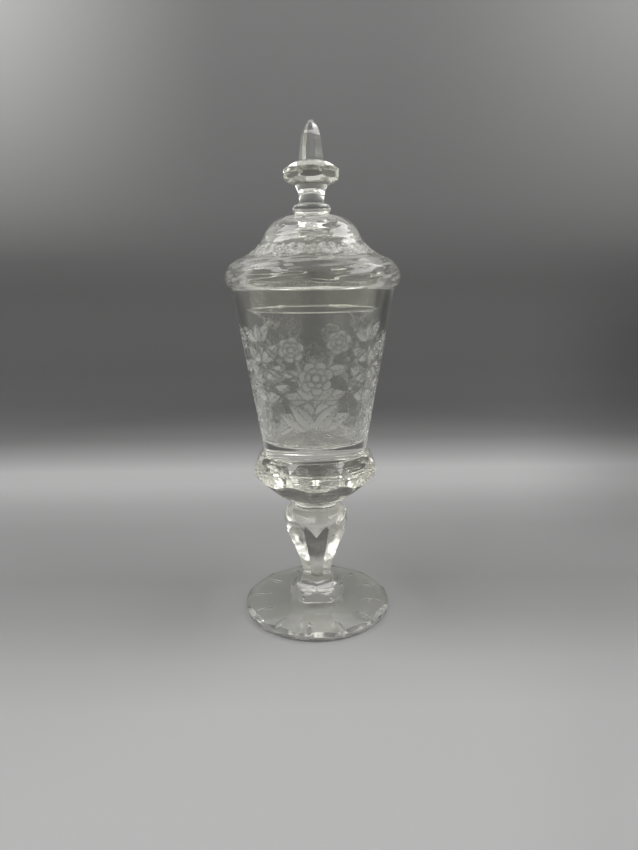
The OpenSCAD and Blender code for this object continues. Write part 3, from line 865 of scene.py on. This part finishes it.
class GOBLET_OT_stem(bpy.types.Operator):
    """Builds the stem's base, baluster and neck with their long panels"""
    bl_idname = "goblet.stem"
    bl_label = "Stem"

    def execute(self, context):
        stem = context.scene.goblet.stem
        glass = wheel_cut_glass("stem")
        panel_turn = pi / stem.panel_count
        base_h, baluster_h, neck_h = tall("stem_base"), tall("stem_baluster"), tall("stem_neck")
        base_z, baluster_z, neck_z = low("stem_base"), low("stem_baluster"), low("stem_neck")
        panel = self.panel(stem)
        side = leaning((stem.base_flat, base_z), 0, base_z, baluster_z)

        side_top = (stem.base_radius, stem.base_side)
        slope = sqrt(0.5)
        round_end = (side_top[0] + stem.base_round * (slope - 1), side_top[1] + stem.base_round * slope)
        blank_top = (stem.joint_radius, round_end[1] + round_end[0] - stem.joint_radius)
        outline = [(stem.base_radius, 0)] + arc(side_top, round_end, stem.base_round)
        outline += [blank_top, (stem.joint_radius, base_h)]
        base = skinned("Stem_Base", swept(outline, base_z))
        cut_round(base, flats_all_round(), side, stem.panel_count, 0, glass)
        cut_round(base, flats_all_round(), panel, stem.panel_count, panel_turn, glass)
        settled(base, [side])
        dressed(base, "stem_base", glass, [(base_z, 0, stem.base_radius), (baluster_z, 0, stem.joint_radius)])

        neck_r = stem.baluster_radius - stem.baluster_round
        outline = [(stem.joint_radius, 0), (stem.baluster_radius, stem.bend_height)]
        outline += arc((stem.baluster_radius, baluster_h - stem.baluster_round), (neck_r, baluster_h),
                       stem.baluster_round)
        baluster = skinned("Stem_Baluster", swept(outline, baluster_z))
        cut_round(baluster, flats_all_round(), panel, stem.panel_count, panel_turn, glass)
        settled(baluster, [panel])
        dressed(baluster, "stem_baluster", glass, [(baluster_z, 0, stem.joint_radius), (neck_z, 0, neck_r)])

        outline = arc((neck_r, 0), (stem.neck_top, neck_h), -stem.neck_sweep)
        neck = skinned("Stem_Neck", swept(outline, neck_z))
        dressed(neck, "stem_neck", fire_polished_glass(),
                [(neck_z, 0, neck_r), (neck_z + neck_h, 0, stem.neck_top)])
        return {"FINISHED"}

    def panel(self, stem):
        """Guide for the long panels: a round flute below the waist, a slow sweep above, and an arched end."""
        bottom = low("stem_baluster")
        outside = 3 * stem.baluster_radius
        wheel_r, wheel_z = stem.waist + stem.flute_radius, bottom + stem.waist_rise
        start_r = wheel_r - sqrt(stem.flute_radius ** 2 - stem.panel_rise ** 2)
        flute = arc((wheel_r, wheel_z - stem.flute_radius), (start_r, wheel_z + stem.panel_rise),
                    -stem.flute_radius)
        ledge = np.array([stem.ledge, bottom + stem.ledge_height])
        arch = np.array([stem.baluster_radius, bottom + stem.arch_height])
        run_out = 2 * arch - ledge
        points = [(outside, low("stem_base") - CLEAR), (outside, flute[0][1] - CLEAR)] + flute
        points += arc(flute[-1], (stem.bend, bottom + stem.bend_height), -stem.panel_sweep, 2 * MM)[1:]
        points += [tuple(ledge), tuple(run_out)]
        points += [(outside, run_out[1] + CLEAR), (outside, low("stem_neck") + 2 * CLEAR)]
        return guide(points)


class GOBLET_OT_knop(bpy.types.Operator):
    """Builds the knop under the bowl with its three rows of flats"""
    bl_idname = "goblet.knop"
    bl_label = "Knop"

    def execute(self, context):
        knop, stem, bowl = context.scene.goblet.knop, context.scene.goblet.stem, context.scene.goblet.bowl
        bottom, height = low("bowl_knop"), tall("bowl_knop")
        glass = wheel_cut_glass("thick")
        outline = arc((stem.neck_top, 0), (knop.radius, knop.under_height), knop.under_round)
        outline += [(knop.radius, height - knop.bevel_height), (knop.top_radius, height)]
        outline += [(bowl.bottom_radius, height)]
        piece = skinned("Bowl_Knop", swept(outline, bottom))
        upper_r = knop.top_radius - knop.top_cut
        lean = atan2(knop.belt - upper_r, knop.belt_drop)
        top = bottom + height
        upper = guide([(knop.belt, bottom - CLEAR), (knop.belt, top - knop.belt_drop),
                       (upper_r - CLEAR * tan(lean), top + CLEAR)])
        lower = leaning((knop.lower_flat, bottom + knop.lower_height), -knop.lower_lean, bottom, top)
        cut_round(piece, flats_all_round(), upper, knop.cut_count, 0, glass)
        cut_round(piece, flats_all_round(), lower, knop.cut_count, pi / knop.cut_count, glass)
        settled(piece, [upper, lower])
        joints = [(bottom, 0, stem.neck_top), (top, 0, bowl.bottom_radius)]
        dressed(piece, "bowl_knop", glass, joints)
        return {"FINISHED"}


class GOBLET_OT_bowl(bpy.types.Operator):
    """Builds the tapering bowl with its engraved flowers"""
    bl_idname = "goblet.bowl"
    bl_label = "Bowl"

    def execute(self, context):
        bowl = context.scene.goblet.bowl
        bottom, height = low("bowl"), tall("bowl")
        outer_low, outer_rim = (bowl.bottom_radius, 0), (bowl.rim_radius, height)
        inner_rim = (bowl.rim_radius - bowl.rim_wall, height)
        inner_low = (bowl.bottom_radius - bowl.low_wall, bowl.floor)
        widening = (bowl.rim_radius - bowl.bottom_radius) / height
        from_point = (bowl.bottom_radius + widening * bowl.engraved_from, bowl.engraved_from)
        to_point = (bowl.bottom_radius + widening * bowl.engraved_to, bowl.engraved_to)
        plain_step = 4 * MM
        outline = stepped(outer_low, from_point, plain_step)
        outline += stepped(from_point, to_point, bowl.engraved_step)
        rim = eased(outer_low, outer_rim, inner_rim, bowl.rim_round)
        outline += stepped(to_point, rim[0], plain_step) + rim
        outer_rows = len(outline)
        rim = eased(outer_rim, inner_rim, inner_low, bowl.rim_round)
        floor = eased(inner_rim, inner_low, (0, bowl.floor), bowl.floor_round)
        outline += rim[1:-1] + stepped(rim[-1], floor[0], 2 * plain_step) + floor
        grid = swept(outline, bottom, FINE_SEGMENTS)

        turn = np.arctan2(grid[..., 0], -grid[..., 1])
        frost = np.zeros(grid.shape[:2])
        middle_radius = (bowl.bottom_radius + bowl.rim_radius) / 2
        frost[:outer_rows] = bowl_engraving(turn, grid[..., 2] - bottom, middle_radius)[:outer_rows]
        still = np.isin(np.arange(len(outline)), (0, len(outline) - 1))[:, None]
        uneven = unevenness(turn, grid[..., 2]) * bowl.ripple
        carve(grid, np.where(still, 0, frost * bowl.engraved_depth + uneven))
        piece = skinned("Bowl", grid)
        frosted(piece, frost)
        dressed(piece, "bowl", wheel_engraved_glass("bowl"), [(bottom, 0, bowl.bottom_radius)], ENGRAVED_EDGE)
        return {"FINISHED"}


class GOBLET_OT_cover(bpy.types.Operator):
    """Builds the cover's dome with its engraved wreath, and the rim inside it"""
    bl_idname = "goblet.cover"
    bl_label = "Cover"

    def execute(self, context):
        cover, finial = context.scene.goblet.cover, context.scene.goblet.finial
        rim_z, height = low("cover_dome"), tall("cover_dome")
        outside, inside = self.outlines(cover, height)
        outside = [(collar_end(finial), height)] + outside
        underside = [(cover.inner_radius, 0), (cover.inner_radius - cover.inner_wall, 0)]
        outline = outside + underside + inside
        grid = swept(outline, rim_z, FINE_SEGMENTS)

        points = np.array(outline)
        way = np.diff(points, axis=0)
        along = np.concatenate([[0], np.cumsum(np.hypot(way[:, 0], way[:, 1]))])[:, None]
        band_height = 21 * MM
        band = np.argmin(np.abs(points[:len(outside), 1] - band_height))
        turn = np.arctan2(grid[..., 0], -grid[..., 1])
        frost = wreath(turn, (along[band] - along) / MM, cover.wreath_count)
        frost[len(outside):] = 0
        # Streaks begin above the lip and grow weaker towards the crown. The seat and the inside are even
        above_lip = (grid[..., 2] - rim_z) / MM
        on_dome = np.interp(above_lip, (0.5, 4, 13, 20), (0, 1, 1, 0.5))
        on_dome[:2] = 0
        on_dome[len(outside):] = 0
        raised = streaks(turn, along) * cover.ripple * on_dome - frost * cover.wreath_depth
        slope = np.gradient(points, axis=0)
        outward_way = np.stack([-slope[:, 1], slope[:, 0]], axis=1) / np.hypot(*slope.T)[:, None]
        carve(grid, -raised * outward_way[:, :1])
        grid[..., 2] += raised * outward_way[:, 1:]
        resting = grid[..., 2] < rim_z + TOUCH
        grid[..., 2] += np.where(resting, REST_GAP, 0)
        dome = skinned("Cover_Dome", grid)
        frosted(dome, frost)
        inner_z = rim_z + REST_GAP
        joints = [(rim_z + height, 0, collar_end(finial)),
                  (inner_z, cover.inner_radius - cover.inner_wall, cover.inner_radius)]
        dressed(dome, "cover_dome", wheel_engraved_glass("cover"), joints, ENGRAVED_EDGE)

        half = cover.inner_wall / 2
        low_r = cover.inner_radius - cover.inner_taper
        depth = half - (rim_z - low("cover_inner_rim"))
        outline = [(cover.inner_radius, REST_GAP), (cover.inner_radius - cover.inner_wall, REST_GAP)]
        outline += arc((low_r - cover.inner_wall, depth), (low_r, depth), half * NEARLY_HALF)
        ring = skinned("Cover_Inner_Rim", swept(outline, rim_z), ring=True)
        dressed(ring, "cover_inner_rim", fire_polished_glass(), joints[1:])
        return {"FINISHED"}

    def outlines(self, cover, height):
        """Points down the outside of the dome to its lip, and up the inside of its hollow."""
        dome_centre = np.array([cover.seat_radius, height - cover.dome])
        lip_centre = np.array([cover.radius - cover.shoulder, cover.lip_round])
        way = lip_centre - dome_centre
        span = np.hypot(*way)
        near, far = cover.dome + cover.sweep, cover.shoulder + cover.sweep
        along = (near ** 2 - far ** 2 + span ** 2) / (2 * span)
        aside = sqrt(near ** 2 - along ** 2)
        sweep_centre = dome_centre + way / span * along + np.array([-way[1], way[0]]) / span * aside
        dome_way = (sweep_centre - dome_centre) / near
        dome_end = dome_centre + dome_way * cover.dome
        shoulder_top = lip_centre + (sweep_centre - lip_centre) / far * cover.shoulder
        # Points are close for the streaks, and closest for the wreath
        close, closest = 0.8 * MM, 0.5 * MM
        lip = (cover.radius, cover.lip_round)
        outside = arc((cover.seat_radius, height), dome_end, -cover.dome, close)[:-1]
        outside += arc(dome_end, shoulder_top, cover.sweep, closest)[:-1]
        outside += arc(shoulder_top, lip, -cover.shoulder, close)[:-1]
        outside += arc(lip, (cover.radius - cover.lip_round, 0), -cover.lip_round)

        hollow_r = cover.inner_radius - cover.inner_wall
        hollow_sweep = cover.sweep + cover.wall
        hollow_top = height - cover.crown
        aside, above = sweep_centre - (cover.seat_radius, hollow_top)
        hollow_dome = (aside ** 2 + above ** 2 - hollow_sweep ** 2) / (2 * (hollow_sweep - above))
        corner_x = hollow_r - cover.hollow_round
        reach = hollow_sweep + cover.hollow_round
        corner_z = sweep_centre[1] - sqrt(reach ** 2 - (sweep_centre[0] - corner_x) ** 2)
        corner = np.array([corner_x, corner_z])
        corner_top = sweep_centre + (corner - sweep_centre) / reach * hollow_sweep
        hollow_centre = np.array([cover.seat_radius, hollow_top - hollow_dome])
        way = sweep_centre - hollow_centre
        hollow_end = hollow_centre + way / np.hypot(*way) * hollow_dome
        inside = arc((hollow_r, corner_z), corner_top, cover.hollow_round)[:-1]
        inside += arc(corner_top, hollow_end, -hollow_sweep)[:-1]
        inside += arc(hollow_end, (cover.seat_radius, hollow_top), hollow_dome)
        return outside, inside


def collar_end(finial):
    """Radius of the flat ends of the finial's collar."""
    half = tall("finial_collar") / 2
    return finial.collar_radius - half * (NEARLY_HALF - sqrt(NEARLY_HALF ** 2 - 1))


class GOBLET_OT_finial(bpy.types.Operator):
    """Builds the finial's collar, neck, cut knop and pointed spire"""
    bl_idname = "goblet.finial"
    bl_label = "Finial"

    def execute(self, context):
        finial = context.scene.goblet.finial
        clear, cut, thick = fire_polished_glass(), wheel_cut_glass("spire"), wheel_cut_glass("finial")
        collar_z, neck_z = low("finial_collar"), low("finial_neck")
        knop_z, spire_z = low("finial_knop"), low("finial_spire")
        collar_h, neck_h = tall("finial_collar"), tall("finial_neck")
        knop_h, spire_h = tall("finial_knop"), tall("finial_spire")
        steps = 40

        end = collar_end(finial)
        neck_bottom = self.neck_at(finial, 0, neck_h)
        outline = arc((end, 0), (end, collar_h), collar_h / 2 * NEARLY_HALF) + [(neck_bottom, collar_h)]
        collar = skinned("Finial_Collar", swept(outline, collar_z))
        dressed(collar, "finial_collar", clear, [(collar_z, 0, end), (neck_z, 0, neck_bottom)])

        outline = [(self.neck_at(finial, h, neck_h), h) for h in np.linspace(0, neck_h, steps)]
        neck = skinned("Finial_Neck", swept(outline, neck_z))
        dressed(neck, "finial_neck", clear, [(neck_z, 0, neck_bottom), (knop_z, 0, finial.neck_top)])

        half_side = pi / finial.spire_sides
        corner = finial.spire_flat / cos(half_side)
        outline = [(self.knop_at(finial, h, knop_h), h) for h in np.linspace(0, knop_h, steps)]
        grid = swept(outline, knop_z)
        knop = skinned("Finial_Knop", with_seat(grid, finial.spire_sides, finial.spire_flat, corner,
                                                finial.spire_turn))
        oval = leaning((finial.cut_flat, knop_z), 0, knop_z, spire_z)
        cut_round(knop, flats_all_round(), oval, finial.cut_count, finial.cut_turn, thick)
        settled(knop, [oval])
        dressed(knop, "finial_knop", thick, [(knop_z, 0, finial.neck_top), (spire_z, 0, corner)])

        outline = [(finial.spire_flat, 0)]
        outline += arc((finial.tip_flat, finial.tip_height), (finial.tip_point, spire_h), finial.tip_round)
        grid = swept([(r / cos(half_side), h) for r, h in outline], spire_z, finial.spire_sides)
        spin = Matrix.Rotation(finial.spire_turn + half_side, 3, "Z")
        spire = skinned("Finial_Spire", grid @ np.array(spin).T)
        dressed(spire, "finial_spire", cut, [(spire_z, 0, corner)])
        return {"FINISHED"}

    def neck_at(self, finial, height, neck_h):
        """Radius of the neck at a height."""
        part = (height - finial.neck_waist) / (neck_h - finial.neck_waist)
        return finial.neck_radius + (finial.neck_top - finial.neck_radius) * part ** 2

    def knop_at(self, finial, height, knop_h):
        """Radius of the knop at a height: it bulges from each end to its widest place."""
        above = height > finial.knop_wide
        end = finial.spire_seat if above else finial.neck_top
        reach = knop_h - finial.knop_wide if above else finial.knop_wide
        part = abs(height - finial.knop_wide) / reach
        return end + (finial.knop_radius - end) * (1 - part ** finial.knop_curve)


class GOBLET_OT_stage(bpy.types.Operator):
    """Sets up the paper sweep, the two soft lights and the camera"""
    bl_idname = "goblet.stage"
    bl_label = "Stage"

    def execute(self, context):
        stage = context.scene.goblet.stage
        self.sweep(stage)
        for name, place in LIGHT_PLACES.items():
            self.light(name, place, stage.light_colour)
        world = bpy.data.worlds.new("Room")
        world.use_nodes = True
        world.node_tree.nodes["Background"].inputs["Color"].default_value = (*stage.world_colour, 1)
        context.scene.world = world
        self.camera(context.scene)
        context.scene.view_settings.view_transform = "Standard"
        cycles = context.scene.cycles
        for kind in ("max", "transmission", "transparent_max", "glossy"):
            setattr(cycles, kind + "_bounces", BOUNCES)
        # Light that falls through the glass onto the floor stays sharp and strong
        cycles.blur_glossy = 0.1
        return {"FINISHED"}

    def sweep(self, stage):
        """Round sweep of matt paper: a flat floor that curves up into a wall all round."""
        reach = stage.floor_radius + stage.floor_curve
        middle, step = 5 * MM, 20 * MM
        outline = stepped((middle, 0), (stage.floor_radius, 0), step)
        outline += arc((stage.floor_radius, 0), (reach, stage.floor_curve), stage.floor_curve)
        outline += [(reach, stage.wall_height)]
        mesh = grid_mesh("Sweep", swept(outline, -REST_GAP), (0,))
        mesh.shade_smooth()
        mesh.materials.append(self.paper())
        shown("Sweep", mesh)

    def paper(self):
        """Matt paper, painted with light and shade: in bands from the near floor to the wall behind, and pale
        at the sides.
        """
        material, tree = bare_material("Paper_Matt")
        place = add_node(tree, "ShaderNodeTexCoord").outputs["Object"]
        part = add_node(tree, "ShaderNodeSeparateXYZ", {0: place}).outputs
        # The bands lie level for an eye at this distance and height, and the same way round behind it
        _, eye_y, eye_z = CAMERA_PLACE
        away = add_node(tree, "ShaderNodeMath", {0: part["Y"], 1: -eye_y}, operation="ADD")
        away = add_node(tree, "ShaderNodeMath", {0: away}, operation="ABSOLUTE")
        away = add_node(tree, "ShaderNodeMath", {0: away, 1: BAND_NEAREST}, operation="MAXIMUM")
        below = add_node(tree, "ShaderNodeMath", {0: eye_z, 1: part["Z"]}, operation="SUBTRACT")
        slope = add_node(tree, "ShaderNodeMath", {0: below, 1: away}, operation="DIVIDE")
        across = add_node(tree, "ShaderNodeMath", {0: part["X"], 1: away}, operation="DIVIDE")
        aside = add_node(tree, "ShaderNodeMath", {0: across}, operation="ABSOLUTE")
        # Painted light and shade in bands, by the slope
        band = add_node(tree, "ShaderNodeMapRange", {
            "Value": slope, "From Min": BAND_TOP, "From Max": BAND_LOW})
        tones = add_node(tree, "ShaderNodeValToRGB", {0: band})
        ramp = tones.color_ramp
        ramp.elements.remove(ramp.elements[1])
        for number, (at, tone) in enumerate(PAINTED_LIGHT_BANDS):
            position = (at - BAND_TOP) / (BAND_LOW - BAND_TOP)
            stop = ramp.elements.new(position) if number else ramp.elements[0]
            stop.position = position
            stop.color = (*linear(tone), 1)
        measures = {"height": part["Z"], "slope": slope, "across": across, "aside": aside}
        masks = {}
        for name, (measure, first, last, least, most, change) in BACKDROP_MASKS.items():
            masks[name] = add_node(tree, "ShaderNodeMapRange", {
                "Value": measures[measure], "From Min": first, "From Max": last, "To Min": least,
                "To Max": most}, interpolation_type=change)
        # Past the sides of that view the paper is painted pale with light, on the wall sooner than on the
        # floor
        masks["sides"] = add_node(tree, "ShaderNodeMapRange", {
            "Value": aside, "From Min": masks["sides begin"], "From Max": masks["sides full"]},
            interpolation_type="SMOOTHSTEP")
        # Painted light on the sides and upper corners, and painted shade on the right end, laid over the
        # bands
        painted_light_tone = tones
        for tone, names in BACKDROP_PAINTED_LIGHT:
            share = masks[names[0]]
            for name in names[1:]:
                share = add_node(tree, "ShaderNodeMath", {0: share, 1: masks[name]}, operation="MULTIPLY")
            mix = add_node(tree, "ShaderNodeMix", {
                "Factor": share, "A": painted_light_tone, "B": (*linear(tone), 1)}, data_type="RGBA")
            painted_light_tone = mix.outputs[2]
        paper = add_node(tree, "ShaderNodeBsdfDiffuse", {"Color": painted_light_tone})
        add_node(tree, "ShaderNodeOutputMaterial", {"Surface": paper})
        return material

    def light(self, name, place, tint):
        """Large soft light that faces the bowl."""
        lamp = bpy.data.lights.new(name, "AREA")
        lamp.shape = "RECTANGLE"
        lamp.size = LIGHT_WIDTH
        lamp.size_y = LIGHT_HEIGHT
        lamp.energy = LIGHT_POWER
        lamp.color = tint
        light = bpy.data.objects.new(name, lamp)
        bpy.context.scene.collection.objects.link(light)
        aim = Vector(LIGHT_AIM) - Vector(place)
        light.matrix_world = Matrix.Translation(place) @ aim.to_track_quat("-Z", "Y").to_matrix().to_4x4()
        light.visible_camera = False

    def camera(self, scene):
        """Camera of the photograph: a wide lens, level with the cover and tipped down."""
        pitch, yaw, roll = CAMERA_PITCH, CAMERA_YAW, CAMERA_ROLL
        view = bpy.data.cameras.new("Camera")
        view.lens = CAMERA_LENS
        view.clip_start = 0.01
        right = Vector((cos(yaw), -sin(yaw), 0))
        ahead = Vector((sin(yaw) * cos(pitch), cos(yaw) * cos(pitch), -sin(pitch)))
        above = right.cross(ahead)
        rolled_right = right * cos(roll) - above * sin(roll)
        rolled_above = right * sin(roll) + above * cos(roll)
        camera = bpy.data.objects.new("Camera", view)
        turn = Matrix((rolled_right, rolled_above, -ahead)).transposed()
        camera.matrix_world = Matrix.Translation(CAMERA_PLACE) @ turn.to_4x4()
        scene.collection.objects.link(camera)
        scene.camera = camera


class GOBLET_PT_sidebar(bpy.types.Panel):
    """Lists the goblet's pieces and their sizes"""
    bl_idname = "GOBLET_PT_sidebar"
    bl_label = "Covered Goblet"
    bl_space_type = "VIEW_3D"
    bl_region_type = "UI"
    bl_category = "Goblet"

    def draw(self, context):
        for operator in OPERATORS:
            self.layout.operator(operator.bl_idname)
        for group in GobletSettings.__annotations__:
            box = self.layout.box()
            box.label(text=group.capitalize())
            sizes = getattr(context.scene.goblet, group)
            for name in sizes.__annotations__:
                box.prop(sizes, name)


GROUPS = (FootSizes, StemSizes, KnopSizes, BowlSizes, CoverSizes, FinialSizes, GlassColours, StageSizes,
          GobletSettings)
OPERATORS = (GOBLET_OT_foot, GOBLET_OT_stem, GOBLET_OT_knop, GOBLET_OT_bowl, GOBLET_OT_cover,
             GOBLET_OT_finial, GOBLET_OT_stage)
CLASSES = GROUPS + OPERATORS + (GOBLET_PT_sidebar,)


def register():
    """Makes the settings, the operators and the panel known to Blender."""
    for cls in CLASSES:
        bpy.utils.register_class(cls)
    bpy.types.Scene.goblet = PointerProperty(type=GobletSettings)


def unregister():
    """Takes away what register added."""
    del bpy.types.Scene.goblet
    for cls in reversed(CLASSES):
        bpy.utils.unregister_class(cls)


def main():
    """Builds every piece and the stage."""
    register()
    bpy.ops.goblet.foot()
    bpy.ops.goblet.stem()
    bpy.ops.goblet.knop()
    bpy.ops.goblet.bowl()
    bpy.ops.goblet.cover()
    bpy.ops.goblet.finial()
    bpy.ops.goblet.stage()


if __name__ == "__main__":
    main()
